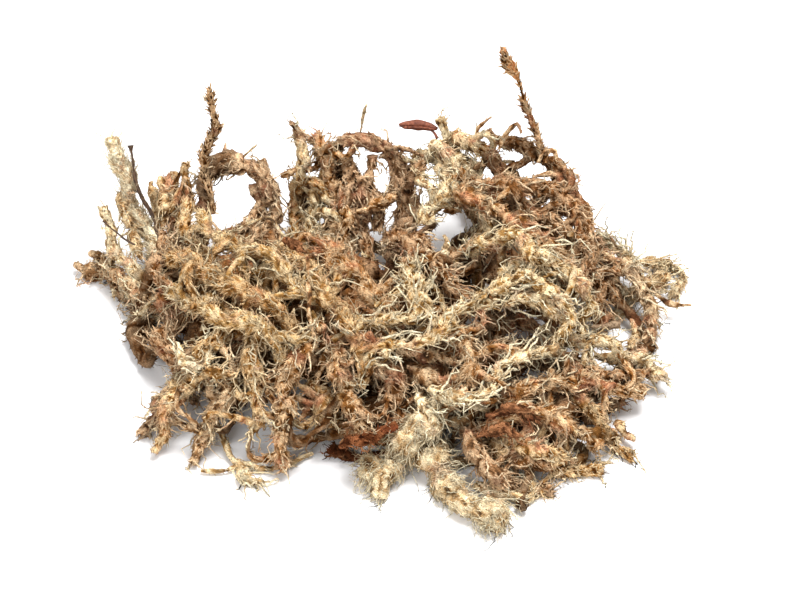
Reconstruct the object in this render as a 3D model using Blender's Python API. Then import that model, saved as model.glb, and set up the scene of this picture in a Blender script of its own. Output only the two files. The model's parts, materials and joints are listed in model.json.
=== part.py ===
"""A clump of dried long-fibre moss lying on a flat surface.

Every strand, stalk and twig is a solid of its own: a tube along a wandering route, thick in the
middle and thinner at its ends. The routes cross, so the strands are first eased apart until none
touches another, as they lie over and under each other in the real clump. The strands that lie on
the surface are then cut flat where they rest on it.
"""

import bmesh
import bpy
import numpy as np

MM = 0.001

# How a strand is drawn, in millimetres.
RING_SPACING = 4.6
FEWEST_RINGS = 8
MOST_RINGS = 24
SIDES_SETTING = 1
WANDER = 1.1
WANDER_LENGTH = 26.0
SWELL = 0.12
WANDER_SEED = 7

# How strands are eased apart, in millimetres.
CLEARANCE = 0.55
EASING_STEPS = 900
EASE = 0.45
HOME_PULL = 0.012
STIFFNESS = 0.3
SETTLED_AFTER = 600
RESTING_HEIGHT = 0.78
SETTLES_BELOW = 1.5
SETTLES_OVER = 3.0
SELF_REACH = 4.2

COLLECTION = "moss_clump"

# Linear colours of the dried moss, from the bleached tips to the peaty inner strands.
CREAM = (0.62, 0.52, 0.36)
STRAW = (0.52, 0.39, 0.23)
TAN = (0.40, 0.27, 0.15)
BROWN = (0.25, 0.14, 0.075)
CHOCOLATE = (0.14, 0.07, 0.04)
RUSSET = (0.33, 0.13, 0.07)
BARK = (0.10, 0.055, 0.035)

# Each strand: name, colour, radius at its start, middle and end, and its route.
STRANDS = [
    # The pale strands that lie out in front.
    ("front_pale_strand", CREAM, (3.4, 4.4, 4.9),
     ((15, -44, 14), (16, -54, 7), (15, -65, 5), (21, -73, 5), (29, -79, 5), (36, -84, 5))),
    ("front_left_lobe", CREAM, (3.2, 4.2, 4.4),
     ((22, -48, 16), (17, -57, 14), (9, -60, 10), (2, -63, 7), (0, -70, 5))),
    # The russet strand and the lumps above it, left of the pale ones.
    ("front_russet_strand", RUSSET, (1.8, 2.4, 1.8),
     ((-13, -55, 5), (-4, -58, 4), (5, -57, 4), (12, -53, 5))),
    ("centre_front_strand_a", BROWN, (3.2, 3.8, 3.0),
     ((-5, -28, 24), (-3, -38, 29), (1, -46, 26), (4, -51, 20), (6, -55, 13))),
    ("centre_front_strand_b", TAN, (3.2, 3.8, 3.2),
     ((-14, -27, 27), (-13, -38, 30), (-11, -46, 26), (-9, -53, 20), (-3, -58, 13))),
    ("centre_front_strand_c", STRAW, (3.2, 3.8, 3.2),
     ((-20, -42, 20), (-16, -49, 16), (-11, -54, 12), (-2, -56, 10), (8, -50, 6))),
    ("centre_front_strand_d", TAN, (3.4, 4.2, 3.2),
     ((16, -24, 24), (21, -34, 28), (25, -42, 26), (24, -49, 19), (17, -50, 9))),
    # The leg that stands forward to the surface.
    ("front_leg", TAN, (2.6, 3.6, 3.2),
     ((-17, -28, 28), (-20, -38, 30), (-24, -48, 26), (-29, -55, 19), (-30, -60, 11), (-27, -63, 4))),
    # The tan bundle at the front right.
    ("bundle_edge_strand", BROWN, (3.0, 3.6, 2.8),
     ((24, -52, 9), (29, -62, 14), (33, -67, 8), (40, -70, 4), (50, -69, 4))),
    ("bundle_top_strand", TAN, (2.8, 4.0, 2.8),
     ((28, -50, 9), (32, -56, 15), (42, -55, 16), (53, -55, 12), (63, -58, 6))),
    ("bundle_middle_strand", STRAW, (2.8, 3.9, 2.6),
     ((30, -58, 5), (38, -62, 11), (48, -62, 9), (57, -63, 4), (66, -61, 4))),
    ("right_curl_strand", STRAW, (2.2, 2.6, 2.4),
     ((56, -40, 10), (63, -44, 10), (68, -48, 6), (70, -54, 3), (75, -58, 3))),
    # The long strands that run out to the right.
    ("long_pale_strand", CREAM, (2.0, 2.6, 2.0),
     ((14, -53, 25), (25, -55, 24), (33, -51, 24), (36, -44, 25), (42, -37, 24), (52, -33, 21))),
    ("right_pale_strand", CREAM, (2.4, 2.8, 2.2),
     ((48, -25, 22), (58, -26, 19), (69, -25, 15), (78, -25, 10), (85, -30, 5))),
    ("long_tan_strand_a", TAN, (2.6, 3.2, 2.4),
     ((19, -50, 16), (34, -49, 18), (49, -44, 17), (64, -41, 12), (80, -39, 6))),
    ("long_tan_strand_b", BROWN, (2.6, 3.2, 2.4),
     ((12, -40, 10), (28, -42, 12), (44, -43, 9), (60, -37, 5), (74, -36, 4))),
    ("long_tan_strand_c", BROWN, (2.6, 3.1, 2.2),
     ((30, -32, 22), (42, -30, 19), (54, -31, 15), (67, -33, 12), (78, -31, 8))),
    # The strands that hang down to the left and forward.
    ("left_lower_strand_a", STRAW, (2.8, 3.2, 2.6),
     ((-36, -24, 26), (-44, -33, 28), (-52, -41, 24), (-60, -47, 17), (-64, -51, 9), (-66, -55, 4))),
    ("left_lower_strand_b", TAN, (2.8, 3.3, 2.6),
     ((-33, -30, 24), (-40, -39, 25), (-45, -48, 18), (-50, -54, 10), (-55, -58, 4))),
    ("left_lower_strand_c", STRAW, (2.8, 3.2, 2.0),
     ((-28, -22, 28), (-35, -33, 30), (-37, -43, 25), (-36, -50, 17), (-38, -54, 10))),
    ("left_lower_strand_d", BROWN, (2.6, 3.2, 2.4),
     ((-50, -24, 14), (-57, -35, 17), (-62, -41, 12), (-67, -46, 5), (-71, -49, 4))),
    # The ragged left edge.
    ("left_edge_strand", BROWN, (2.2, 2.8, 2.8),
     ((-93, 18, 3), (-86, 18, 3), (-79, 11, 3), (-73, 0, 4), (-66, -11, 4), (-58, -22, 3))),
    ("left_pale_upright", CREAM, (2.0, 3.0, 3.0),
     ((-82, 36, 45), (-80, 33, 35), (-77, 29, 26), (-74, 24, 18), (-70, 17, 12), (-64, 5, 6))),
    ("left_bare_stem", BARK, (0.6, 0.8, 0.7),
     ((-77, 34, 43), (-76, 31, 37), (-75, 28, 31), (-71, 25, 24), (-69, 20, 19), (-66, 12, 14))),
    ("left_yellow_tuft", CREAM, (2.0, 2.8, 2.6),
     ((-87, 27, 24), (-85, 22, 20), (-82, 15, 15), (-76, 6, 10), (-69, -5, 5))),
    ("left_back_strand_a", TAN, (2.0, 2.9, 2.8),
     ((-66, 37, 28), (-66, 33, 21), (-64, 26, 14), (-60, 17, 10), (-52, 6, 7))),
    ("left_back_strand_b", STRAW, (1.8, 2.6, 2.8),
     ((-60, 37, 33), (-60, 32, 27), (-60, 24, 23), (-58, 13, 22), (-55, 0, 21))),
    # The scaly stalk and the arch beside it.
    ("scaly_stalk", TAN, (0.9, 1.2, 1.1),
     ((-52, 38, 62), (-52, 37, 54), (-51, 36, 49), (-53, 35, 41), (-54, 33, 34), (-52, 26, 23))),
    ("brown_arch", BROWN, (2.8, 3.1, 2.8),
     ((-54, 22, 14), (-55, 32, 25), (-51, 36, 32), (-45, 38, 34), (-39, 36, 31), (-35, 33, 26),
      (-34, 29, 20), (-38, 23, 17), (-46, 15, 14))),
    # The upright column behind the centre.
    ("column_strand_a", STRAW, (2.4, 3.1, 3.0),
     ((-27, 36, 24), (-26, 32, 15), (-24, 25, 9), (-22, 16, 5), (-16, 2, 4))),
    ("column_strand_b", CREAM, (2.2, 3.2, 3.0),
     ((-25, 42, 41), (-23, 39, 33), (-22, 34, 27), (-21, 29, 20), (-19, 22, 13), (-14, 11, 8))),
    ("column_strand_c", TAN, (2.2, 3.2, 3.0),
     ((-18, 42, 39), (-17, 38, 31), (-15, 32, 24), (-13, 26, 17), (-12, 18, 11), (-8, 6, 7))),
    ("column_strand_d", BROWN, (2.6, 3.0, 2.8),
     ((-12, 40, 29), (-10, 37, 21), (-8, 32, 15), (-7, 24, 10), (-2, 13, 6), (4, 4, 4))),
    ("chocolate_arch", CHOCOLATE, (2.4, 2.9, 2.8),
     ((-15, 41, 26), (-13, 42, 37), (-6, 43, 39), (1, 42, 35), (6, 39, 30), (9, 35, 24),
      (8, 28, 17), (4, 19, 11), (2, 8, 8))),
    # The pale curls on top at the back.
    ("top_pale_strand_a", CREAM, (1.8, 3.2, 3.0),
     ((20, 44, 44), (21, 43, 38), (24, 41, 34), (27, 38, 30), (30, 31, 26), (34, 18, 21))),
    ("top_pale_strand_b", CREAM, (2.4, 3.2, 3.0),
     ((12, 41, 29), (15, 40, 33), (20, 35, 34), (23, 29, 35), (20, 22, 32), (12, 18, 27))),
    ("top_pale_strand_c", STRAW, (2.4, 3.0, 2.8),
     ((28, 43, 33), (34, 42, 31), (39, 39, 25), (38, 36, 15), (33, 33, 6))),
    ("bark_flake", RUSSET, (0.6, 1.3, 0.6),
     ((5, 43, 43), (10, 43, 42.5), (15, 42, 41))),
    ("chestnut_back_strand", BROWN, (2.2, 2.7, 2.2),
     ((32, 44, 33), (38, 44, 33), (45, 42, 32), (52, 40, 29), (59, 37, 24), (63, 31, 14), (64, 24, 5))),
    ("bud_stalk", TAN, (1.5, 0.8, 1.0),
     ((37, 45, 71), (41, 45, 65), (43, 44, 58), (44, 44, 52), (47, 43, 45), (50, 41, 39), (50, 37, 33))),
    # The ridge that falls away to the right.
    ("right_back_strand_a", BROWN, (2.8, 3.3, 2.6),
     ((27, 20, 38), (38, 22, 37), (48, 25, 33), (58, 25, 28), (65, 20, 22), (70, 11, 16), (71, 2, 9))),
    ("right_back_strand_b", TAN, (2.6, 3.4, 3.0),
     ((20, 20, 32), (29, 14, 39), (38, 6, 40), (47, -1, 39), (55, -8, 35), (61, -16, 27))),
    ("right_back_strand_c", BROWN, (2.8, 3.2, 2.8),
     ((32, 27, 24), (42, 21, 29), (52, 16, 28), (61, 11, 23), (67, 3, 15), (66, -8, 8))),
    # The pale ravelled mass right of the centre.
    ("pale_mass_strand_a", CREAM, (2.6, 3.3, 2.8),
     ((25, 9, 17), (27, 3, 28), (31, -2, 36), (38, -5, 40), (47, -9, 40), (56, -12, 35), (61, -17, 28), (60, -24, 20))),
    ("pale_mass_strand_b", CREAM, (2.8, 3.3, 2.6),
     ((29, -22, 30), (37, -20, 36), (46, -17, 36), (52, -21, 32), (56, -25, 25), (52, -30, 17))),
    ("sinuous_pale_strand", CREAM, (2.0, 2.8, 2.4),
     ((-2, -40, 30), (8, -41, 32), (15, -40, 32), (18, -33, 34), (25, -28, 36), (34, -27, 35))),
    # The middle of the clump.
    ("centre_brown_strand", BROWN, (2.8, 3.4, 2.8),
     ((8, 16, 16), (4, 10, 27), (5, 4, 33), (11, -2, 35), (17, -9, 34), (22, -17, 32), (29, -21, 26), (38, -18, 18))),
    ("centre_pale_strand", CREAM, (2.6, 3.2, 2.6),
     ((14, -10, 29), (9, -12, 37), (12, -20, 37), (11, -28, 36), (4, -33, 34), (-6, -31, 29))),
    ("centre_tan_strand", TAN, (2.8, 3.3, 2.8),
     ((-20, 12, 15), (-19, 5, 26), (-16, -3, 34), (-13, -11, 38), (-8, -18, 37), (-1, -24, 35), (8, -26, 28), (18, -22, 20))),
    ("centre_long_strand", STRAW, (2.6, 3.3, 2.8),
     ((-32, 14, 12), (-30, 6, 24), (-27, -3, 33), (-23, -13, 37), (-17, -24, 36), (-11, -34, 33), (-8, -44, 29), (-8, -50, 22))),
    ("left_centre_strand_a", CREAM, (2.4, 3.1, 2.8),
     ((-54, 12, 34), (-50, 2, 36), (-43, -6, 38), (-34, -10, 39), (-26, -18, 38), (-22, -28, 35))),
    ("left_centre_strand_b", STRAW, (2.6, 3.3, 2.8),
     ((-63, 2, 28), (-55, -9, 33), (-46, -18, 35), (-36, -24, 35), (-27, -31, 32), (-20, -36, 24))),
    ("left_centre_strand_c", CREAM, (2.6, 3.3, 2.8),
     ((-64, -8, 23), (-58, -20, 27), (-50, -28, 30), (-40, -32, 31), (-31, -38, 29), (-28, -42, 21))),
    ("left_side_strand", BROWN, (2.6, 3.3, 2.8),
     ((-66, 14, 25), (-67, 5, 24), (-66, -6, 21), (-65, -16, 17), (-62, -27, 11), (-55, -36, 5))),
    # The ragged loop and strands at the far right.
    ("right_yellow_strand", CREAM, (1.8, 2.6, 2.4),
     ((68, 22, 16), (72, 20, 14), (77, 17, 11), (80, 11, 7), (76, 3, 4), (68, -4, 4))),
    ("right_loop", STRAW, (1.8, 2.0, 1.8),
     ((83, 7, 3), (84, 16, 3), (87, 24, 3), (92, 24, 3), (94, 18, 3), (90, 11, 3))),
    ("right_brown_strand", TAN, (2.4, 2.7, 2.4),
     ((58, 8, 17), (65, 8, 17), (73, 9, 14), (80, 4, 10), (83, -4, 7), (82, -13, 5), (76, -19, 4))),
    ("broken_twig", BARK, (0.9, 0.9, 0.9),
     ((54, -10, 9), (64, -9, 8), (73, -8, 7))),
    # The strands underneath, which the others lie on.
    ("base_strand_a", BROWN, (2.8, 3.4, 2.8),
     ((-56, 22, 3), (-38, 20, 3), (-24, 14, 3), (-8, 12, 3), (10, 14, 3), (26, 20, 3))),
    ("base_strand_b", BROWN, (2.8, 3.4, 2.8),
     ((-50, -10, 3), (-34, -16, 3), (-16, -22, 3), (4, -20, 3), (24, -14, 3), (44, -16, 3))),
]


def clear_scene():
    for thing in list(bpy.data.objects):
        bpy.data.objects.remove(thing, do_unlink=True)


def along_curve(route, count):
    """Points on a smooth Catmull-Rom curve through the route, evenly spaced along its length."""
    inner = np.array(route, float)
    ends = np.vstack([2 * inner[0] - inner[1], inner, 2 * inner[-1] - inner[-2]])
    fine = []
    for a, b, c, d in zip(ends, ends[1:], ends[2:], ends[3:]):
        t = np.linspace(0, 1, 24, endpoint=False)[:, None]
        fine.append(0.5 * (2 * b + (c - a) * t + (2 * a - 5 * b + 4 * c - d) * t**2
                           + (3 * b - a - 3 * c + d) * t**3))
    fine = np.vstack(fine + [inner[-1:]])
    steps = np.linalg.norm(np.diff(fine, axis=0), axis=1)
    travelled = np.concatenate([[0], np.cumsum(steps)])
    stations = np.linspace(0, travelled[-1], count)
    return np.column_stack([np.interp(stations, travelled, fine[:, k]) for k in range(3)])


def wavering(length, count, draw, channels):
    """Slow smooth waves along a strand, a few for each channel, between about -1 and 1."""
    stations = np.linspace(0, length, count)[:, None]
    waves = np.zeros((count, channels))
    for share, pitch in ((0.65, 1.0), (0.35, 0.47)):
        phase = draw.uniform(0, 2 * np.pi, channels)
        waves += share * np.sin(2 * np.pi * stations / (WANDER_LENGTH * pitch) + phase)
    return waves


def plan_strand(radii, route, draw):
    """A strand's ring centres and radii in millimetres."""
    rough = along_curve(route, 60)
    length = np.linalg.norm(np.diff(rough, axis=0), axis=1).sum()
    count = int(np.clip(round(length / RING_SPACING) + 1, FEWEST_RINGS, MOST_RINGS))
    centres = along_curve(route, count)
    thickness = np.interp(np.linspace(0, 1, count), (0, 0.5, 1), radii)
    centres += wavering(length, count, draw, 3) * WANDER * np.clip(thickness[:, None] / 3, 0.2, 1)
    thickness = thickness * (1 + SWELL * wavering(length, count, draw, 1)[:, 0])
    if max(radii) > 1.6:
        thickness[0] *= 0.62
        thickness[-1] *= 0.62
    return centres, thickness


class Bundle:
    """All strands as one set of segments, so that they can be eased apart together."""

    def __init__(self, plans):
        self.starts = np.cumsum([0] + [len(c) for c, _ in plans])
        self.points = np.vstack([c for c, _ in plans])
        self.radii = np.concatenate([r for _, r in plans])
        self.floor = RESTING_HEIGHT * self.radii
        self.lay_down()
        self.home = self.points.copy()
        self.strand = np.repeat(np.arange(len(plans)), [len(c) for c, _ in plans])
        first = np.arange(len(self.points) - 1)
        self.first = first[self.strand[:-1] == self.strand[1:]]
        self.lengths = np.linalg.norm(self.home[self.first + 1] - self.home[self.first], axis=1)
        i, j = np.triu_indices(len(self.first), 1)
        same = self.strand[self.first[i]] == self.strand[self.first[j]]
        apart = (np.abs(self.first[i] - self.first[j]) - 1) * RING_SPACING
        reach = SELF_REACH * self.radii[self.first[i]]
        kept = ~same | (apart > reach)
        self.i = i[kept]
        self.j = j[kept]

    def lay_down(self):
        """Brings what is only just above the resting surface down onto it."""
        lift = np.maximum(self.points[:, 2] - self.floor, 0)
        held = np.clip((lift - SETTLES_BELOW) / SETTLES_OVER, 0, 1)
        self.points[:, 2] = self.floor + lift * held

    def nearest(self, i, j):
        """For each pair of segments, the gap between their surfaces and where it is least."""
        p, q = self.points[self.first[i]], self.points[self.first[i] + 1]
        r, s = self.points[self.first[j]], self.points[self.first[j] + 1]
        u, v, w = q - p, s - r, p - r
        a, b, c = (u * u).sum(1), (u * v).sum(1), (v * v).sum(1)
        d, e = (u * w).sum(1), (v * w).sum(1)
        spread = np.maximum(a * c - b * b, 1e-9)
        x = np.clip((b * e - c * d) / spread, 0, 1)
        y = np.clip((b * x + e) / c, 0, 1)
        x = np.clip((b * y - d) / a, 0, 1)
        across = (p + u * x[:, None]) - (r + v * y[:, None])
        distance = np.linalg.norm(across, axis=1)
        thick_i = self.radii[self.first[i]] * (1 - x) + self.radii[self.first[i] + 1] * x
        thick_j = self.radii[self.first[j]] * (1 - y) + self.radii[self.first[j] + 1] * y
        return distance - thick_i - thick_j, across, distance, x, y

    def near_pairs(self, margin):
        middle = (self.points[self.first] + self.points[self.first + 1]) / 2
        far = np.abs(middle[self.i] - middle[self.j]).max(axis=1)
        close = far < margin
        return self.i[close], self.j[close]

    def ease_apart(self):
        for step in range(EASING_STEPS):
            if step % 10 == 0:
                i, j = self.near_pairs(22)
            gap, across, distance, x, y = self.nearest(i, j)
            tight = gap < CLEARANCE
            if step > SETTLED_AFTER and not tight.any():
                break
            push = np.zeros_like(self.points)
            count = np.full(len(self.points), 1e-9)
            way = across[tight] / np.maximum(distance[tight], 1e-6)[:, None]
            way[distance[tight] < 1e-3] = (0, 0, 1)
            amount = (CLEARANCE * 1.3 - gap[tight])[:, None] * way
            a, b = self.first[i[tight]], self.first[j[tight]]
            for point, share, sign in ((a, 1 - x, 1), (a + 1, x, 1), (b, 1 - y, -1), (b + 1, y, -1)):
                weight = share[tight]
                np.add.at(push, point, sign * amount * weight[:, None])
                np.add.at(count, point, weight)
            self.points += EASE * push / np.maximum(count, 1)[:, None]
            if step < SETTLED_AFTER:
                self.points += HOME_PULL * (self.home - self.points)
                self.smooth(0.12)
            else:
                self.smooth(0.02)
            self.keep_lengths()
            self.points[:, 2] = np.maximum(self.points[:, 2], self.floor)

    def keep_lengths(self):
        """Moves the two ends of each segment together or apart, towards its length at home."""
        along = self.points[self.first + 1] - self.points[self.first]
        length = np.linalg.norm(along, axis=1)
        change = (STIFFNESS * (self.lengths - length) / length / 2)[:, None] * along
        np.add.at(self.points, self.first, -change)
        np.add.at(self.points, self.first + 1, change)

    def smooth(self, share):
        """Moves each inner point a little towards where its neighbours would have it, as at home."""
        shift = self.points - self.home
        inner = np.arange(1, len(self.points) - 1)
        inner = inner[(self.strand[inner - 1] == self.strand[inner])
                      & (self.strand[inner + 1] == self.strand[inner])]
        mean = (shift[inner - 1] + shift[inner + 1]) / 2
        self.points[inner] += share * (mean - shift[inner])

    def least_gap(self):
        i, j = self.near_pairs(40)
        gap = self.nearest(i, j)[0]
        worst = gap.argmin()
        return gap[worst], self.strand[self.first[i[worst]]], self.strand[self.first[j[worst]]]

    def strand_plan(self, k):
        rows = slice(self.starts[k], self.starts[k + 1])
        return self.points[rows], self.radii[rows]


def tube(name, centres, radii):
    """A closed tube as a mesh in metres, with its end caps welded on."""
    curve = bpy.data.curves.new(name, "CURVE")
    curve.dimensions = "3D"
    curve.bevel_depth = MM
    curve.bevel_resolution = SIDES_SETTING
    curve.use_fill_caps = True
    line = curve.splines.new("POLY")
    line.points.add(len(centres) - 1)
    for point, centre, radius in zip(line.points, centres, radii):
        point.co = (*(centre * MM), 1)
        point.radius = radius
    holder = bpy.data.objects.new(name, curve)
    bpy.context.scene.collection.objects.link(holder)
    graph = bpy.context.evaluated_depsgraph_get()
    mesh = bpy.data.meshes.new_from_object(holder.evaluated_get(graph))
    bpy.data.objects.remove(holder, do_unlink=True)
    bpy.data.curves.remove(curve)
    return mesh


def finish_mesh(mesh):
    """Welds the caps, cuts the mesh flat at the resting surface and turns its faces outward."""
    work = bmesh.new()
    work.from_mesh(mesh)
    bmesh.ops.remove_doubles(work, verts=work.verts, dist=0.01 * MM)
    if min(vertex.co.z for vertex in work.verts) < 0:
        everything = work.verts[:] + work.edges[:] + work.faces[:]
        bmesh.ops.bisect_plane(work, geom=everything, plane_co=(0, 0, 0), plane_no=(0, 0, 1),
                               dist=0.01 * MM, clear_inner=True)
        rim = [edge for edge in work.edges if edge.is_boundary]
        bmesh.ops.holes_fill(work, edges=rim, sides=0)
        bmesh.ops.dissolve_degenerate(work, edges=work.edges, dist=0.02 * MM)
    bmesh.ops.triangulate(work, faces=work.faces)
    bmesh.ops.recalc_face_normals(work, faces=work.faces)
    work.to_mesh(mesh)
    work.free()
    mesh.shade_smooth()


def dried_moss(name, colour):
    """A dull, dry surface in the strand's own colour."""
    material = bpy.data.materials.new(name)
    material.use_nodes = True
    surface = material.node_tree.nodes["Principled BSDF"]
    surface.inputs["Base Color"].default_value = (*colour, 1)
    surface.inputs["Roughness"].default_value = 0.9
    surface.inputs["Metallic"].default_value = 0.0
    material.diffuse_color = (*colour, 1)
    return material


def centre_on_base(meshes):
    """Moves every mesh together, so that the middle of the clump's base is the origin."""
    corners = np.array([vertex.co for mesh in meshes for vertex in mesh.vertices])
    low, high = corners.min(axis=0), corners.max(axis=0)
    shift = np.array([-(low[0] + high[0]) / 2, -(low[1] + high[1]) / 2, -low[2]])
    for mesh in meshes:
        for vertex in mesh.vertices:
            vertex.co = np.array(vertex.co) + shift
    return high - low, shift


def build():
    clear_scene()
    clump = bpy.data.collections.new(COLLECTION)
    bpy.context.scene.collection.children.link(clump)
    draw = np.random.default_rng(WANDER_SEED)
    bundle = Bundle([plan_strand(radii, route, draw) for _, _, radii, route in STRANDS])
    bundle.ease_apart()
    gap, one, other = bundle.least_gap()
    print(f"smallest gap {gap:.2f} mm, between {STRANDS[one][0]} and {STRANDS[other][0]}")
    meshes = []
    for k, (name, colour, _, _) in enumerate(STRANDS):
        mesh = tube(name, *bundle.strand_plan(k))
        finish_mesh(mesh)
        mesh.materials.clear()
        mesh.materials.append(dried_moss(name, colour))
        clump.objects.link(bpy.data.objects.new(name, mesh))
        meshes.append(mesh)
    size, shift = centre_on_base(meshes)
    print("clump measures", " x ".join(f"{1000 * side:.1f}" for side in size), "mm")
    print("moved by", " ".join(f"{1000 * step:.1f}" for step in shift), "mm")
    print(sum(len(mesh.polygons) for mesh in meshes), "triangles in", len(meshes), "pieces")


build()
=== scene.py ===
# %% [markdown]
# # A clump of dried long-fibre moss
# Dried sphagnum is a tangle of separate strands. Each strand has a thin stem inside, short leafy
# branches packed along it like a frayed rope, tiny overlapping leaves on the branches, and loose
# fibres that stand out all round. This lesson grows all of that on the strands of a fixed frame.

# %% Load the frame
import heapq
import json

import bmesh
import bpy
import numpy as np
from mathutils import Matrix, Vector


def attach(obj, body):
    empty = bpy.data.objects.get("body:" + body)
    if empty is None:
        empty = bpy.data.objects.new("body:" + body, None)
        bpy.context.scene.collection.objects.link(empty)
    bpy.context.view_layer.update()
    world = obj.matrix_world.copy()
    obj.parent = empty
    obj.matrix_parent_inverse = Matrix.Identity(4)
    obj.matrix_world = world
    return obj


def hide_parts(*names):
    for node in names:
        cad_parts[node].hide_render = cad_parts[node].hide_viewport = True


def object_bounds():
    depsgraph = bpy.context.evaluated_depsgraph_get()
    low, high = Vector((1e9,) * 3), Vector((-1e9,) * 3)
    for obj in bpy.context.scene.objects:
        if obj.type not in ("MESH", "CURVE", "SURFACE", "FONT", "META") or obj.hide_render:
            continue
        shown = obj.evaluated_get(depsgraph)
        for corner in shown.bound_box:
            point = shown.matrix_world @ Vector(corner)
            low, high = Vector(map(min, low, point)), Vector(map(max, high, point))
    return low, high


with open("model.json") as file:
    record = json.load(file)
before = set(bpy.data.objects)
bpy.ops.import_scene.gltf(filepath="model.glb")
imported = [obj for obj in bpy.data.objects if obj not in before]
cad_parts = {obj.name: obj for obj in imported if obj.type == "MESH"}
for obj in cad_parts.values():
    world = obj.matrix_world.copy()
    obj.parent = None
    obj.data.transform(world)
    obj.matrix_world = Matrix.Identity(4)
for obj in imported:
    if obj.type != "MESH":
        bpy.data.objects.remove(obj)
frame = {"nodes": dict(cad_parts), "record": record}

CAD_BOX = [list(corner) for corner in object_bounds()]
MM = 0.001
LOW, HIGH = (Vector(corner) for corner in CAD_BOX)
print("the clump measures", [round(1000 * side, 1) for side in HIGH - LOW], "mm")

# %% [markdown]
# ## Smooth lines
# Strands, shoots and curls bend smoothly, as things do that dried while they lay loose. A Bezier
# curve would need handles at each of its points. A Catmull-Rom curve passes through its points with
# none, so that a route can be written down as a few places.

# %% Smooth lines
SPANS = 12


def steps_along(line):
    """The length of each step of a line."""
    return np.linalg.norm(np.diff(line, axis=0), axis=1)


def smooth_line(route, step):
    """Points every step along a Catmull-Rom curve through the route."""
    route = np.asarray(route, float)
    ends = np.vstack([2 * route[0] - route[1], route, 2 * route[-1] - route[-2]])
    t = np.linspace(0, 1, SPANS, endpoint=False)[:, None]
    fine = [0.5 * (2 * b + (c - a) * t + (2 * a - 5 * b + 4 * c - d) * t**2
                   + (3 * b - a - 3 * c + d) * t**3)
            for a, b, c, d in zip(ends, ends[1:], ends[2:], ends[3:])]
    fine = np.vstack(fine + [route[-1:]])
    travelled = np.concatenate([[0], np.cumsum(steps_along(fine))])
    stations = np.linspace(0, travelled[-1], max(4, round(travelled[-1] / step) + 1))
    return np.column_stack([np.interp(stations, travelled, fine[:, k]) for k in range(3)])


# %% [markdown]
# ## Reading a strand's middle line
# The frame gives each strand as a plain tube. The moss needs the line down the middle of that tube
# and its thickness along the way. Walking over the tube's own edges from one tip gives each vertex
# its distance along the strand, and the vertices at about the same distance are one ring round it.

# %% Walking over a tube
WELD = 0.02 * MM


def welded(node):
    """The vertices of a frame node, merged, and for each the vertices it shares an edge with."""
    work = bmesh.new()
    work.from_mesh(frame["nodes"][node].data)
    bmesh.ops.remove_doubles(work, verts=work.verts, dist=WELD)
    work.verts.ensure_lookup_table()
    points = np.array([vertex.co for vertex in work.verts])
    beside = [[edge.other_vert(vertex).index for edge in vertex.link_edges]
              for vertex in work.verts]
    work.free()
    return points, beside


def walked_from(first, points, beside):
    """How far each vertex is from the first, along the edges."""
    far = np.full(len(points), np.inf)
    far[first] = 0
    queue = [(0.0, first)]
    while queue:
        so_far, here = heapq.heappop(queue)
        if so_far > far[here]:
            continue
        for there in beside[here]:
            step = so_far + float(np.linalg.norm(points[there] - points[here]))
            if step < far[there]:
                far[there] = step
                heapq.heappush(queue, (step, there))
    return far


# %% Middle lines
RING_STEP = 4.5 * MM
RING_REACH = 0.75 * RING_STEP
LEAST_WEIGHT = 0.001
TIP_REACH = 0.8 * MM
FINE_STEP = 1.0 * MM
NEAR_POINTS = 6
SMOOTHED_OVER = 9


def middle_line(node):
    """The middle line of a strand and its radius at each point, from one tip to the other."""
    points, beside = welded(node)
    first = int(np.argmax(walked_from(0, points, beside)))
    far = walked_from(first, points, beside)
    back = walked_from(int(np.argmax(far)), points, beside)
    along = (far - back) / 2
    along -= along.min()
    count = max(4, round(along.max() / RING_STEP) + 1)
    centres = np.zeros((count, 3))
    for k, station in enumerate(np.linspace(0, along.max(), count)):
        weight = np.clip(1 - np.abs(along - station) / RING_REACH, LEAST_WEIGHT, 1) ** 2
        centres[k] = (points * weight[:, None]).sum(0) / weight.sum()
    centres[0] = points[along < TIP_REACH].mean(0)
    centres[-1] = points[along > along.max() - TIP_REACH].mean(0)
    fine = smooth_line(centres, FINE_STEP)
    gap = np.linalg.norm(points[:, None] - fine[None], axis=2)
    nearest = gap.argmin(1)
    radii = np.full(len(fine), np.nan)
    for k in range(len(fine)):
        near = np.abs(nearest - k) < NEAR_POINTS
        if near.any():
            radii[k] = np.median(gap[near, nearest[near]])
    known = ~np.isnan(radii)
    radii = np.interp(np.arange(len(fine)), np.flatnonzero(known), radii[known])
    padded = np.pad(radii, SMOOTHED_OVER // 2, mode="edge")
    return fine, np.convolve(padded, np.ones(SMOOTHED_OVER) / SMOOTHED_OVER, mode="valid")


LINES = {node: middle_line(node) for node in sorted(frame["nodes"])}
LENGTHS = {node: steps_along(line).sum() for node, (line, _) in LINES.items()}
print(len(LINES), "strands,", round(sum(LENGTHS.values()), 2), "m in all")


# %% [markdown]
# ## Node trees written in Python
# Thousands of branches, leaves and fibres follow each strand, and noise colours them all, so both
# the shapes and the finishes are node trees. A tree could be drawn by hand in the editor. One that
# is written in a script is easier to read and repeat when each node is one call: its kind, what
# goes into its sockets, and its settings. A value goes straight into a socket, and another node's
# output is wired to it.

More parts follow.
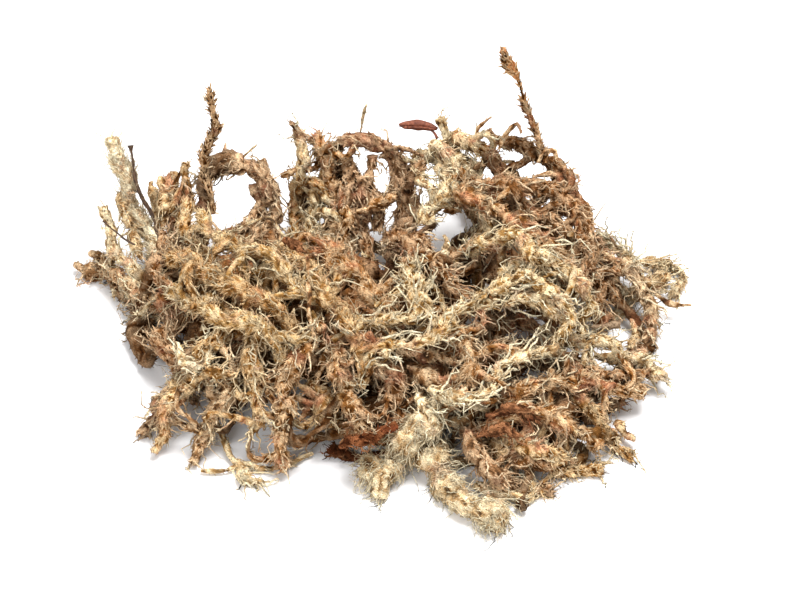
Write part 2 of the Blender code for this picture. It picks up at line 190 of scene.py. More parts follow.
# %% One call for each node
class Nodes:
    """A node tree under construction."""

    def __init__(self, graph):
        self.graph = graph

    def add(self, kind, sockets=(), out=0, **settings):
        """Adds a node and returns one of its outputs, or the node itself if out is None."""
        node = self.graph.nodes.new(kind)
        for setting, value in settings.items():
            setattr(node, setting, value)
        for key, value in dict(sockets).items():
            if isinstance(value, bpy.types.NodeSocket):
                self.graph.links.new(value, node.inputs[key])
            else:
                node.inputs[key].default_value = value
        return node if out is None else node.outputs[out]

    def math(self, operation, a, b=0.0):
        return self.add("ShaderNodeMath", {0: a, 1: b}, operation=operation)

    def multiply(self, first, *others):
        for other in others:
            first = self.math("MULTIPLY", first, other)
        return first

    def between(self, value, low, high, to_low=0.0, to_high=1.0):
        """The value's place from low to high, as a number from to_low to to_high."""
        return self.add("ShaderNodeMapRange", {0: value, 1: low, 2: high, 3: to_low, 4: to_high})


# %% Geometry Nodes
class Tree(Nodes):
    """A Geometry Nodes tree, with the calls that moss needs."""

    def __init__(self, name, inputs):
        super().__init__(bpy.data.node_groups.new(name, "GeometryNodeTree"))
        sides = self.graph.interface
        sides.new_socket("Line", in_out="INPUT", socket_type="NodeSocketGeometry")
        self.names = {label: sides.new_socket(label, in_out="INPUT", socket_type=kind).identifier
                      for label, kind in inputs.items()}
        sides.new_socket("Moss", in_out="OUTPUT", socket_type="NodeSocketGeometry")
        self.given = self.graph.nodes.new("NodeGroupInput").outputs

    def vector(self, operation, a, b=(0, 0, 0), scale=None):
        sockets = {0: a, 1: b} if scale is None else {0: a, "Scale": scale}
        return self.add("ShaderNodeVectorMath", sockets, operation=operation)

    def random(self, low, high, seed, vector=False):
        """A different value for each element; a fixed seed keeps them the same on every run."""
        if vector:
            return self.add("FunctionNodeRandomValue", {0: low, 1: high, "Seed": seed},
                            data_type="FLOAT_VECTOR")
        return self.add("FunctionNodeRandomValue", {2: low, 3: high, "Seed": seed}, out=1)

    def named(self, name, vector=False):
        kind = "FLOAT_VECTOR" if vector else "FLOAT"
        return self.add("GeometryNodeInputNamedAttribute", {"Name": name}, data_type=kind)

    def store(self, shape, name, value, domain="POINT", vector=False):
        kind = "FLOAT_VECTOR" if vector else "FLOAT"
        return self.add("GeometryNodeStoreNamedAttribute",
                        {"Geometry": shape, "Name": name, "Value": value},
                        data_type=kind, domain=domain)

    def position(self):
        return self.add("GeometryNodeInputPosition")

    def noise(self, pitch, detail, out=0, shift=None):
        """Noise through space, with lumps about a pitch apart."""
        place = self.vector("SCALE", self.position(), scale=1 / pitch)
        if shift is not None:
            place = self.vector("ADD", place, shift)
        return self.add("ShaderNodeTexNoise", {"Vector": place, "Scale": 1.0, "Detail": detail},
                        out=out)

    def stray(self, pitch, detail, shift=None):
        """A push in any direction, which changes slowly through space."""
        push = self.noise(pitch, detail, out="Color", shift=shift)
        return self.vector("SUBTRACT", push, (0.5, 0.5, 0.5))

    def move(self, shape, offset):
        return self.add("GeometryNodeSetPosition", {"Geometry": shape, "Offset": offset})

    def tube(self, line, sides, radius):
        """A closed tube round a line, whose radius may change along it."""
        section = self.add("GeometryNodeCurvePrimitiveCircle", {"Resolution": sides, "Radius": 1.0})
        return self.add("GeometryNodeCurveToMesh",
                        {"Curve": line, "Profile Curve": section, "Fill Caps": True,
                         "Scale": radius})

    def join(self, parts):
        joined = self.add("GeometryNodeJoinGeometry", out=None)
        for part in parts:
            self.graph.links.new(part, joined.inputs[0])
        return joined.outputs[0]


# %% [markdown]
# ## How a strand grows
# Three layers cover the stem. *Branches* are short tapering cords that leave the stem at a slant,
# bend as they dried and lie down again along it. *Leaves* are tiny pointed scales that overlap
# along the branches. *Fibres* are thin and wild, and blur the outline. Hair particles could make
# the fibres, but they can't carry leaves and aren't a mesh until they are converted.

# %% What a strand is given
GROWTH = dict.fromkeys((
    "Stem share", "Swirl",
    "Branches", "Branch length", "Branch radius", "Branch lean", "Branch curl",
    "Leaves", "Stem leaves", "Leaf length", "Leaf width", "Leaf tilt",
    "Fibres", "Fibre length", "Fibre radius", "Fibre lean", "Fibre curl"), "NodeSocketFloat")
GROWTH |= {"Seed": "NodeSocketInt", "Surface": "NodeSocketMaterial"}
SCATTER = 0.6


def scattered_on(tree, surface, density, seed):
    """Random points on a surface, fewer where it has little cover."""
    density = tree.multiply(density, tree.named("cover"))
    return tree.add("GeometryNodeDistributePointsOnFaces",
                    {"Mesh": surface, "Density": density, "Seed": seed}, out=None)


def slanted(tree, scattered, lean, swirl, seed):
    """Where a cord or leaf sets off: along the strand, out from it, and a little round it."""
    normal = scattered.outputs["Normal"]
    flow = tree.named("flow", vector=True)
    round_it = tree.vector("CROSS_PRODUCT", normal, flow)
    away = tree.vector("SCALE", normal, scale=lean)
    turned = tree.vector("SCALE", round_it, scale=swirl)
    stray = tree.random((-SCATTER,) * 3, (SCATTER,) * 3, seed, vector=True)
    total = tree.vector("ADD", tree.vector("ADD", flow, away), tree.vector("ADD", turned, stray))
    return tree.vector("NORMALIZE", total)


print(len(GROWTH), "inputs")

# %% [markdown]
# ## Branches and fibres
# Both are the same idea at different sizes, so one function makes both. Each starts as a straight
# line at a point of the stem. Noise through space bends it, more towards its tip, and it becomes a
# three-sided tapering tube, which is enough for something thinner than a millimetre. Each point
# stores how far along its cord it lies ("reach") and a number of its cord's own ("tone"), and the
# material reads both.

# %% Branches and fibres
LUMP_PITCH = 6 * MM
CORD_LUMPS = (0.6, 1.35)
LEAN_RANGE = (0.1, 1.7)
LENGTH_RANGE = (0.5, 1.3)
GIRTH_RANGE = (0.5, 1.5)
DRIFT = 9
HUG = 0.5
BEND_POWER = 1.1
CORD_SIDES = 3
TIP_GIRTH, ROOT_GIRTH, PAST_TIP = 0.12, 0.85, 1.02


def cords(tree, surface, density, length, radius, lean, curl, rings, twist_pitch, seed):
    """Tapering cords that leave a surface at a slant and bend more towards their tips."""
    scattered = scattered_on(tree, surface, density, seed)
    own_lean = tree.multiply(lean, tree.random(*LEAN_RANGE, seed))
    way = slanted(tree, scattered, own_lean, tree.given["Swirl"], seed)
    straight = tree.add("GeometryNodeCurvePrimitiveLine", {"End": (0, 0, 1)})
    straight = tree.add("GeometryNodeResampleCurve", {"Curve": straight, "Count": rings})
    turn = tree.add("FunctionNodeAlignRotationToVector", {"Vector": way}, axis="Z")
    lump = tree.between(tree.noise(LUMP_PITCH, 1.0), 0.35, 0.65, *CORD_LUMPS)
    own_length = tree.multiply(length, tree.random(*LENGTH_RANGE, seed), lump)
    placed = tree.add("GeometryNodeInstanceOnPoints",
                      {"Points": scattered.outputs["Points"], "Instance": straight,
                       "Rotation": turn, "Scale": own_length})
    placed = tree.store(placed, "tone", tree.random(0.0, 1.0, seed), "INSTANCE")
    placed = tree.store(placed, "drift", tree.random((0,) * 3, (DRIFT,) * 3, seed, vector=True),
                        "INSTANCE", vector=True)
    placed = tree.store(placed, "girth", tree.multiply(radius, tree.random(*GIRTH_RANGE, seed)),
                        "INSTANCE")
    lie_down = tree.multiply(own_length, own_lean, -HUG)
    lie_down = tree.vector("SCALE", scattered.outputs["Normal"], scale=lie_down)
    placed = tree.store(placed, "settle", lie_down, "INSTANCE", vector=True)
    lines = tree.add("GeometryNodeRealizeInstances", {"Geometry": placed})
    lines = tree.store(lines, "reach", tree.add("GeometryNodeSplineParameter"))
    reach = tree.named("reach")
    ripple = tree.stray(twist_pitch, 0.5, shift=tree.named("drift", vector=True))
    amount = tree.multiply(curl, tree.math("POWER", reach, BEND_POWER))
    bend = tree.vector("ADD", tree.vector("SCALE", ripple, scale=amount),
                       tree.vector("SCALE", tree.named("settle", vector=True),
                                   scale=tree.multiply(reach, reach)))
    lines = tree.move(lines, bend)
    lines = tree.store(lines, "flow", tree.add("GeometryNodeInputTangent"), vector=True)
    taper = tree.math("SQRT", tree.math("SUBTRACT", PAST_TIP, reach))
    taper = tree.math("ADD", tree.multiply(taper, ROOT_GIRTH), TIP_GIRTH)
    return tree.tube(lines, CORD_SIDES, tree.multiply(tree.named("girth"), taper))


# %% [markdown]
# ## Leaves
# A moss leaf is a pointed scale one or two millimetres long. Thousands of them show only as a
# rough texture. A curved leaf would cost many faces that nobody sees, so each is a flattened
# three-sided cone, laid along its branch and tilted a little off it.

# %% Leaves
LEAF_THICKNESS = 0.25
TILT_RANGE = (0.3, 1.7)
LEAF_RANGE = (0.5, 1.35)


def leaves(tree, surface, density, seed):
    """Flat pointed scales that lie along a surface, each tilted a little away from it."""
    given = tree.given
    scattered = scattered_on(tree, surface, density, seed)
    tilt = tree.multiply(given["Leaf tilt"], tree.random(*TILT_RANGE, seed))
    way = slanted(tree, scattered, tilt, 0.0, seed)
    turn = tree.add("FunctionNodeAlignRotationToVector", {"Vector": way}, axis="Z")
    turn = tree.add("FunctionNodeAlignRotationToVector",
                    {"Rotation": turn, "Vector": scattered.outputs["Normal"]},
                    axis="X", pivot_axis="Z")
    scale = tree.add("ShaderNodeCombineXYZ",
                     {0: tree.multiply(given["Leaf width"], LEAF_THICKNESS),
                      1: given["Leaf width"], 2: given["Leaf length"]})
    scale = tree.vector("SCALE", scale, scale=tree.random(*LEAF_RANGE, seed))
    one_leaf = tree.add("GeometryNodeMeshCone",
                        {"Vertices": 3, "Radius Top": 0.0, "Radius Bottom": 0.6, "Depth": 1.0})
    placed = tree.add("GeometryNodeInstanceOnPoints",
                      {"Points": scattered.outputs["Points"], "Instance": one_leaf,
                       "Rotation": turn, "Scale": scale})
    placed = tree.store(placed, "tone", tree.random(0.0, 1.0, seed), "INSTANCE")
    return tree.add("GeometryNodeRealizeInstances", {"Geometry": placed})


# %% [markdown]
# ## The whole growth tree
# A dried stem isn't a smooth pipe: it wanders, it is thick and thin, and its surface is matted.
# Each of these is noise at its own pitch, as a share of the strand's thickness, so that thin
# strands stay thin. The main strands get rounder stems than the side shoots, which are mostly
# hidden. Last, what would reach below the floor is lifted onto it.

# %% The whole growth tree
WANDER_PITCH, WANDER = 8 * MM, 2.4
STEM_LUMPS = (0.5, 1.35)
FINE_SIDES, PLAIN_SIDES = 16, 8
MAT_PITCH, MAT_DEPTH, MAT_MIDDLE = 1.7 * MM, 1.15, 0.52
BRANCH_RINGS, BRANCH_TWIST = 6, 2.6 * MM
FIBRE_RINGS, FIBRE_TWIST = 8, 3.5 * MM
FIBRE_SEED, LEAF_SEED, MAT_SEED = 100, 200, 300
FLOOR_CLEARANCE = 0.15 * MM


def growth_tree():
    tree = Tree("moss growth", GROWTH)
    given = tree.given
    seed = given["Seed"]
    line = tree.add("GeometryNodeMeshToCurve", {"Mesh": given["Line"]})
    line = tree.store(line, "flow", tree.add("GeometryNodeInputTangent"), vector=True)
    line = tree.store(line, "reach", -1.0)
    wander = tree.multiply(tree.named("thick"), WANDER)
    line = tree.move(line, tree.vector("SCALE", tree.stray(WANDER_PITCH, 1.0), scale=wander))
    lump = tree.between(tree.noise(LUMP_PITCH, 2.0), 0.3, 0.7, *STEM_LUMPS)
    thick = tree.multiply(tree.named("thick"), tree.multiply(lump, given["Stem share"]))
    parted = tree.add("GeometryNodeSeparateGeometry",
                      {"Geometry": line, "Selection": tree.named("fine")},
                      out=None, domain="CURVE")
    stem = tree.join([tree.tube(parted.outputs[1], PLAIN_SIDES, thick),
                      tree.tube(parted.outputs[0], FINE_SIDES, thick)])
    stem = tree.store(stem, "tone", tree.noise(MAT_PITCH, 2.0))
    swell = tree.multiply(tree.math("SUBTRACT", tree.named("tone"), MAT_MIDDLE),
                          tree.multiply(tree.named("thick"), MAT_DEPTH))
    stem = tree.move(stem, tree.vector("SCALE", tree.add("GeometryNodeInputNormal"), scale=swell))
    branches = cords(tree, stem, given["Branches"], given["Branch length"], given["Branch radius"],
                     given["Branch lean"], given["Branch curl"], BRANCH_RINGS, BRANCH_TWIST, seed)
    fibres = cords(tree, stem, given["Fibres"], given["Fibre length"], given["Fibre radius"],
                   given["Fibre lean"], given["Fibre curl"], FIBRE_RINGS, FIBRE_TWIST,
                   tree.math("ADD", seed, FIBRE_SEED))
    scales = leaves(tree, branches, given["Leaves"], tree.math("ADD", seed, LEAF_SEED))
    mat_leaves = leaves(tree, stem, given["Stem leaves"], tree.math("ADD", seed, MAT_SEED))
    joined = tree.join([stem, branches, fibres, scales, mat_leaves])
    axes = tree.add("ShaderNodeSeparateXYZ", {0: tree.position()}, out=None).outputs
    lifted = tree.add("ShaderNodeCombineXYZ",
                      {0: axes[0], 1: axes[1], 2: tree.math("MAXIMUM", axes[2], FLOOR_CLEARANCE)})
    moss = tree.add("GeometryNodeSetPosition", {"Geometry": joined, "Position": lifted})
    moss = tree.add("GeometryNodeRealizeInstances", {"Geometry": moss})
    moss = tree.add("GeometryNodeSetMaterial", {"Geometry": moss, "Material": given["Surface"]})
    tree.graph.links.new(moss, tree.graph.nodes.new("NodeGroupOutput").inputs[0])
    return tree


GROW = growth_tree()
print("the growth tree has", len(GROW.graph.nodes), "nodes")


# %% [markdown]
# ## The colours of dried moss
# Every surface is matt, and no two branches have the same colour. A painted picture wrapped round
# each strand would need its unwrapping, and would smear on the leaves. Here one function makes all
# the moss finishes out of numbers that are already on the mesh. A branch's own tone picks a colour
# between a shaded and a pale one, its tip bleaches, and painted shade darkens its root where it
# meets the stem. The stem inside is painted dark in its pits and wherever other strands lie on top,
# which is painted shade. Slow noise on Object coordinates adds the pink and rust patches that run
# over several branches at once. Fine noise and a wave like combed threads make the grain and the
# bump.

# %% Shaders
def linear(shade):
    """A colour given the way a painter's chart lists it, 0 to 255, as Blender's linear values."""
    parts = [channel / 255 for channel in shade]
    return [c / 12.92 if c <= 0.04045 else ((c + 0.055) / 1.055) ** 2.4 for c in parts] + [1.0]


class Shader(Nodes):
    """A material under construction."""

    def __init__(self, name):
        self.material = bpy.data.materials.new(name)
        self.material.use_nodes = True
        super().__init__(self.material.node_tree)
        self.surface = self.graph.nodes["Principled BSDF"]

    def mix(self, share, a, b):
        """A colour between a and b. Sockets 0, 6 and 7 are the share and the two colours."""
        return self.add("ShaderNodeMix", {0: share, 6: a, 7: b}, out=2, data_type="RGBA")

    def noise(self, pitch, detail=2.0, roughness=0.55, offset=(0, 0, 0)):
        place = self.add("ShaderNodeTexCoord", out="Object")
        place = self.add("ShaderNodeMapping", {"Vector": place, "Location": offset})
        return self.add("ShaderNodeTexNoise", {"Vector": place, "Scale": 1 / pitch,
                                               "Detail": detail, "Roughness": roughness})

    def bump(self, height, strength, depth):
        return self.add("ShaderNodeBump",
                        {"Height": height, "Strength": strength, "Distance": depth})

    def set(self, **values):
        for name, value in values.items():
            socket = self.surface.inputs[name.replace("_", " ")]
            if isinstance(value, bpy.types.NodeSocket):
                self.graph.links.new(value, socket)
            else:
                socket.default_value = value


# %% Moss finishes
PATCH_PITCH, CLOUD_PITCH, GRAIN_PITCH, THREAD_PITCH = 9 * MM, 3.5 * MM, 0.6 * MM, 0.9 * MM
WAVE_PERIOD = 0.63
MOSS_BUMP = (0.6, 0.3 * MM)
PATCH_LEVEL, PATCH_SPAN, PATCH_EDGE = 0.66, 0.32, 0.12


def moss_material(name, stem, shaded, body, tip, patch, patch_share):
    """One moss finish: five colours and how much of it the patches cover, from 0 to 1."""
    shader = Shader(name)
    stem, shaded, body, tip, patch = map(linear, (stem, shaded, body, tip, patch))
    tone, reach, painted_shade, bleach = (shader.add("ShaderNodeAttribute", out="Fac", attribute_name=label)
                                for label in ("tone", "reach", "painted_shade", "bleach"))
    # A branch or leaf: its own tone, then a bleached tip and painted shade at its root, by the
    # stem.
    colour = shader.mix(shader.between(tone, 0.05, 0.55), shaded, body)
    colour = shader.mix(shader.between(tone, 0.6, 1.0, 0.0, 0.8), colour, tip)
    colour = shader.mix(shader.between(reach, 0.3, 1.0, 0.0, 0.5), colour, tip)
    colour = shader.mix(shader.between(reach, 0.25, 0.0, 0.0, 0.6), colour, shaded)
    # The matted stem, whose reach is -1 and whose tone is the noise that swells it. Its pits, where
    # the noise is low, take the dark stem colour as painted shade.
    matted = shader.mix(shader.between(tone, 0.46, 0.58), shaded, body)
    matted = shader.mix(shader.between(tone, 0.36, 0.48), stem, matted)
    colour = shader.mix(shader.between(reach, 0.0, -0.5), colour, matted)
    # Patches, then bleaching and the painted shade of burial under other strands, which change
    # along the strand.
    slow = shader.noise(PATCH_PITCH, detail=3.0)
    level = PATCH_LEVEL - PATCH_SPAN * patch_share
    colour = shader.mix(shader.between(slow, level, level + PATCH_EDGE, 0.0, 0.6), colour, patch)
    pale = shader.multiply(shader.between(bleach, 0.0, 1.0),
                           shader.between(tone, 0.4, 0.6, 0.15, 0.85))
    colour = shader.mix(pale, colour, tip)
    colour = shader.mix(shader.between(bleach, 0.0, -1.0, 0.0, 0.8), colour, shaded)
    # Painted shade: darker towards the stem colour where other strands lie on top.
    colour = shader.mix(shader.between(painted_shade, 0.0, 1.0, 0.0, 0.75), colour, stem)
    # Fine shade, which is the bump as well.
    grain = shader.noise(GRAIN_PITCH, roughness=0.7, offset=(3, 1, 2))
    clouds = shader.noise(CLOUD_PITCH, offset=(5, 2, 1))
    threads = shader.add("ShaderNodeTexWave",
                         {"Vector": shader.add("ShaderNodeTexCoord", out="Object"),
                          "Scale": WAVE_PERIOD / THREAD_PITCH, "Distortion": 14.0, "Detail": 2.0,
                          "Detail Scale": 0.7}, out=1, bands_direction="DIAGONAL")
    shade = shader.multiply(shader.between(grain, 0.32, 0.64, 0.46, 1.12),
                            shader.between(clouds, 0.36, 0.6, 0.62, 1.06),
                            shader.between(threads, 0.0, 0.7, 0.66, 1.06),
                            shader.between(bleach, 0.5, 1.0, 1.0, 1.35))
    colour = shader.add("ShaderNodeVectorMath", {0: colour, "Scale": shade}, operation="SCALE")
    shader.set(Base_Color=colour, Normal=shader.bump(shade, *MOSS_BUMP), Roughness=0.95,
               Specular_IOR_Level=0.03)
    return shader.material


# Stem, shaded, body, tip and patch colours, and how much the patches cover. The stem colour is the
# painted shade in pits and under other strands.
PALETTE = {
    "cream": ((84, 46, 11), (200, 153, 90), (250, 225, 180), (255, 245, 212), (234, 182, 146), 0.3),
    "straw": ((72, 38, 9), (178, 127, 69), (243, 210, 161), (255, 241, 204), (222, 156, 120), 0.35),
    "tan": ((62, 31, 7), (160, 107, 56), (235, 197, 152), (253, 234, 197), (210, 140, 106), 0.35),
    "brown": ((51, 26, 7), (146, 96, 53), (219, 180, 139), (249, 225, 187), (192, 124, 93), 0.35),
    "chocolate": ((48, 23, 8), (143, 97, 57), (216, 175, 135), (244, 217, 178),
                  (180, 116, 88), 0.3),
    "russet": ((44, 18, 7), (104, 57, 31), (148, 92, 58), (206, 154, 110), (134, 64, 40), 0.4),
}
MOSS = {shade + "_moss": moss_material(shade + " moss", *colours)
        for shade, colours in PALETTE.items()}
print(len(MOSS), "moss finishes")


# %% [markdown]
# ## Bark and husk
# A few twigs, a flake of bark and a bud are caught in the moss. They are harder than moss and a
# little shiny, with fine furrows. Rougher noise makes the furrows, in the colour and in the bump at
# once, so that the two always agree.

# %% Bark and husk
FURROW_PITCH = 0.8 * MM
BARK_BUMP = (0.7, 0.25 * MM)


def bark_material(name, furrow, ridge, moist):
    """Bark or a dry husk: fine furrows, clouds of a third colour, and a faint sheen."""
    shader = Shader(name)
    furrows = shader.noise(FURROW_PITCH, detail=4.0, roughness=0.7)
    clouds = shader.noise(CLOUD_PITCH, offset=(2, 7, 4))
    colour = shader.mix(shader.between(furrows, 0.38, 0.6), linear(furrow), linear(ridge))
    colour = shader.mix(shader.between(clouds, 0.45, 0.62, 0.0, 0.7), colour, linear(moist))
    shader.set(Base_Color=colour, Normal=shader.bump(furrows, *BARK_BUMP), Roughness=0.68,
               Specular_IOR_Level=0.35)
    return shader.material


MOSS["dark_bark"] = bark_material("dark bark", (34, 22, 14), (96, 72, 52), (58, 40, 28))
GREY_BARK = bark_material("grey bark", (96, 72, 48), (176, 150, 120), (142, 112, 84))
HUSK = bark_material("dry husk", (70, 32, 20), (138, 78, 54), (98, 50, 34))
PALE_HUSK = bark_material("pale husk", (140, 84, 42), (222, 164, 104), (196, 126, 74))
print("and", [finish.name for finish in (MOSS["dark_bark"], GREY_BARK, HUSK, PALE_HUSK)])


# %% [markdown]
# ## Ways a strand can look
# The strands dried differently. Some stayed woolly, some ravelled into loose curls, some kept their
# branches twisted into a rope, and the oldest shrank to hard scaly cords. Each way is one set of
# values for the growth tree, which is simpler than a tree for each. Densities are counts to a
# square millimetre of the surface they are on.

# %% Ways to look
PER_MM2 = 1e6
CORD_UNITS = (PER_MM2, MM, MM, 1, MM)
LEAF_UNITS = (PER_MM2, PER_MM2, MM, MM, 1)
UNITS = (1, 1, *CORD_UNITS, *LEAF_UNITS, *CORD_UNITS)


def way(stem_share, swirl, branches, leaves, fibres):
    """Growth inputs in the order of GROWTH, sizes in mm: cords are (count, length, radius, lean,
    curl), and leaves are (count on branches, count on the stem, length, width, tilt)."""
    sizes = (stem_share, swirl, *branches, *leaves, *fibres)
    return {label: size * unit for label, size, unit in zip(GROWTH, sizes, UNITS)}


WAYS = {
    "woolly": way(1.0, 0.6, (0.30, 4.5, 0.14, 0.3, 8), (0.2, 0.6, 0.9, 0.35, 0.5),
                  (0.16, 6, 0.12, 0.25, 12)),
    "ravelled": way(0.74, 0.5, (0.095, 7.5, 0.34, 0.42, 11), (0.38, 0.8, 1.2, 0.5, 0.55),
                    (0.02, 9, 0.14, 0.5, 20)),
    "ropy": way(0.82, 0.4, (0.076, 6, 0.29, 0.5, 11), (0.40, 0.8, 1.3, 0.55, 0.7),
                (0.012, 7, 0.13, 0.6, 16)),
    "scaly": way(0.90, 0.2, (0.06, 4, 0.28, 0.45, 8), (0.42, 0.85, 1.2, 0.55, 0.8),
                 (0.008, 5, 0.10, 0.7, 10)),
    "matted": way(0.95, 0.3, (0.022, 5, 0.25, 0.6, 10), (0.3, 0.2, 1.9, 0.8, 0.9),
                  (0.0, 5, 0.1, 0.7, 10)),
    "husky": way(1.0, 0.1, (0.03, 3, 0.20, 0.3, 3), (0.5, 1.8, 2.4, 0.9, 0.25),
                 (0.01, 3, 0.09, 0.8, 4)),
    "thread": way(1.0, 0.1, (0.05, 3, 0.15, 0.9, 6), (0.4, 0.5, 1.0, 0.4, 0.6),
                  (0.0, 2, 0.1, 0.5, 4)),
    "bare": way(1.0, 0.0, (0.006, 3, 0.14, 0.9, 3), (0.0, 0.05, 1.4, 0.5, 0.3),
                (0.006, 3, 0.08, 0.8, 4)),
}
print(len(WAYS), "ways to look")

# %% [markdown]
# ## Side shoots
# Between the main strands lie smaller ones, which branched off and dried where they touched a
# neighbour. Placing each by hand would take hundreds of lines, so they follow a rule. Each starts
# on its strand and bends over to a point on another strand nearby, so the shoots close the gaps of
# the tangle and leave its outline alone. A deep shoot sags between its ends and fills the dark
# inside of the heap. No shoot crosses one of the real heap's few open windows, where the paper
# shows from the front, half way up from the horizon: a window is a place across the heap, its place
# up the slope of that view (Y + Z) and its radius.

# %% Side shoots
# The last value of each kind is painted shade, most for the deep shoots inside the heap.
SHOOTS = (
    {"every": 9.5 * MM, "nearest": 5 * MM, "farthest": 16 * MM, "sag": 1.0,
     "radius": 2.0 * MM, "cover": 0.66, "painted_shade": 0.1},
    {"every": 36 * MM, "nearest": 14 * MM, "farthest": 34 * MM, "sag": 0.45,
     "radius": 3.0 * MM, "cover": 0.16, "painted_shade": 0.8},
)
SHOOT_STEP = 1.6 * MM
LOWEST = 2.0 * MM
END_POINTS = 2
BOW, SECOND_BOW = 0.25, 0.8
OVERSHOOT = 2.5 * MM
WINDOWS = np.array([(-46.5, 72.6, 7), (19.5, 58.7, 6), (-2, 57, 3), (55.5, 14.6, 5), (70, 22, 7),
                    (61, 18.5, 4), (-0.6, 82.4, 3), (27.3, 90.9, 3), (-14, -40, 9)]) * MM
SAMPLES = {node: line[::3] for node, (line, _) in LINES.items()}
SHOOT_SEED = 11
rng = np.random.default_rng(SHOOT_SEED)


def crosses_window(route):
    """Whether a route passes in front of an open window."""
    seen = np.column_stack([route[:, 0], route[:, 1] + route[:, 2]])
    gap = np.abs(seen[:, None] - WINDOWS[None, :, :2])
    gap[:, :, 1] /= 2**0.5
    return bool((np.linalg.norm(gap, axis=2) < WINDOWS[None, :, 2]).any())


def side_shoots(node, others, kind):
    """Routes from points on a strand to points on its neighbours, with a bend in each."""
    line = LINES[node][0]
    targets = np.vstack([SAMPLES[other] for other in others if other != node])
    routes = []
    for _ in range(round(LENGTHS[node] / kind["every"])):
        start = line[rng.integers(END_POINTS, len(line) - END_POINTS)]
        gap = np.linalg.norm(targets - start, axis=1)
        near = np.flatnonzero((gap > kind["nearest"]) & (gap < kind["farthest"]))
        if len(near) == 0:
            continue
        end = targets[rng.choice(near)]
        third = (end - start) / 3
        bow = rng.normal(0, BOW, 3) * np.linalg.norm(end - start)
        beyond = end + rng.normal(0, OVERSHOOT, 3)
        route = np.array([start, start + third + bow, end - third + bow * SECOND_BOW, end, beyond])
        route[1:3, 2] *= kind["sag"]
        route[:, 2] = np.maximum(route[:, 2], LOWEST)
        if not crosses_window(route):
            routes.append(smooth_line(route, SHOOT_STEP))
    return routes


print(len(WINDOWS), "windows stay open")


# %% [markdown]
# ## Growing along lines
# A strand's middle line becomes a string of edges with its thickness at every point, and its side
# shoots are more strings in the same mesh, which is all that the tree asks for. Where other strands
# lie on top of a point it is buried, and the material darkens it towards the dark stem colour: this
# is painted shade of the strands above. The result is made a plain mesh at once, because the
# modifier isn't needed any more.

# %% Helpers for every piece
def linked(name, data):
    """A new object in the scene, at the origin."""
    piece = bpy.data.objects.new(name, data)
    bpy.context.scene.collection.objects.link(piece)
    return piece


def plain_mesh(piece):
    """Makes what the modifiers show the object's own mesh, and takes the modifiers off."""
    shown = piece.evaluated_get(bpy.context.evaluated_depsgraph_get())
    mesh = bpy.data.meshes.new_from_object(shown)
    piece.modifiers.clear()
    piece.data = mesh
    return mesh


def ready(piece):
    """Sets a piece on the clump's one body."""
    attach(piece, "root")


def triangles(mesh):
    return sum(len(face.vertices) - 2 for face in mesh.polygons)


# %% Growing along lines
SEED_STEP = 1000
ABOVE = 1.5 * MM
BURIED_REACH = 6 * MM
BURIED_FULL = 7
SPENT = ("flow", "drift", "settle", "thick", "cover", "girth", "fine")


def buried(line, others):
    """How deep in the heap each point lies, from 0 in the open to 1 well under others."""
    gap = others[None] - line[:, None]
    above = (gap[..., 2] > ABOVE) & (np.hypot(gap[..., 0], gap[..., 1]) < BURIED_REACH)
    return np.clip(above.sum(1) / BURIED_FULL, 0, 1)


def grown(name, routes, values, material, seed, bleach=0.0):
    """Moss on (line, radii, cover, painted shade, fine) routes as one plain mesh object."""
    points, edges = [], []
    along = {"thick": [], "cover": [], "painted_shade": [], "fine": [], "bleach": []}
    for line, *settings in routes:
        first = len(points)
        points += [tuple(point) for point in line]
        edges += [(k, k + 1) for k in range(first, len(points) - 1)]
        for label, value in zip(along, (*settings, bleach)):
            along[label] += list(np.broadcast_to(value, len(line)))
    start = bpy.data.meshes.new(name)
    start.from_pydata(points, edges, [])
    for label, values_along in along.items():
        start.attributes.new(label, "FLOAT", "POINT").data.foreach_set("value", values_along)
    piece = linked(name, start)
    modifier = piece.modifiers.new("growth", "NODES")
    modifier.node_group = GROW.graph
    for label, value in {**values, "Seed": seed, "Surface": material}.items():
        modifier[GROW.names[label]] = value
    mesh = plain_mesh(piece)
    bpy.data.meshes.remove(start)
    mesh.name = name
    for spent in SPENT:
        if spent in mesh.attributes:
            mesh.attributes.remove(mesh.attributes[spent])
    return piece


# %% [markdown]
# ## How each strand dried
# The way and the bleaching of each strand are given by name, and a strand with no entry is ropy and
# not bleached. A negative bleach is a darker strand. Stalks and twigs also have their own thickness
# along the way, because a bud, a node or a broken end is what makes them look real.

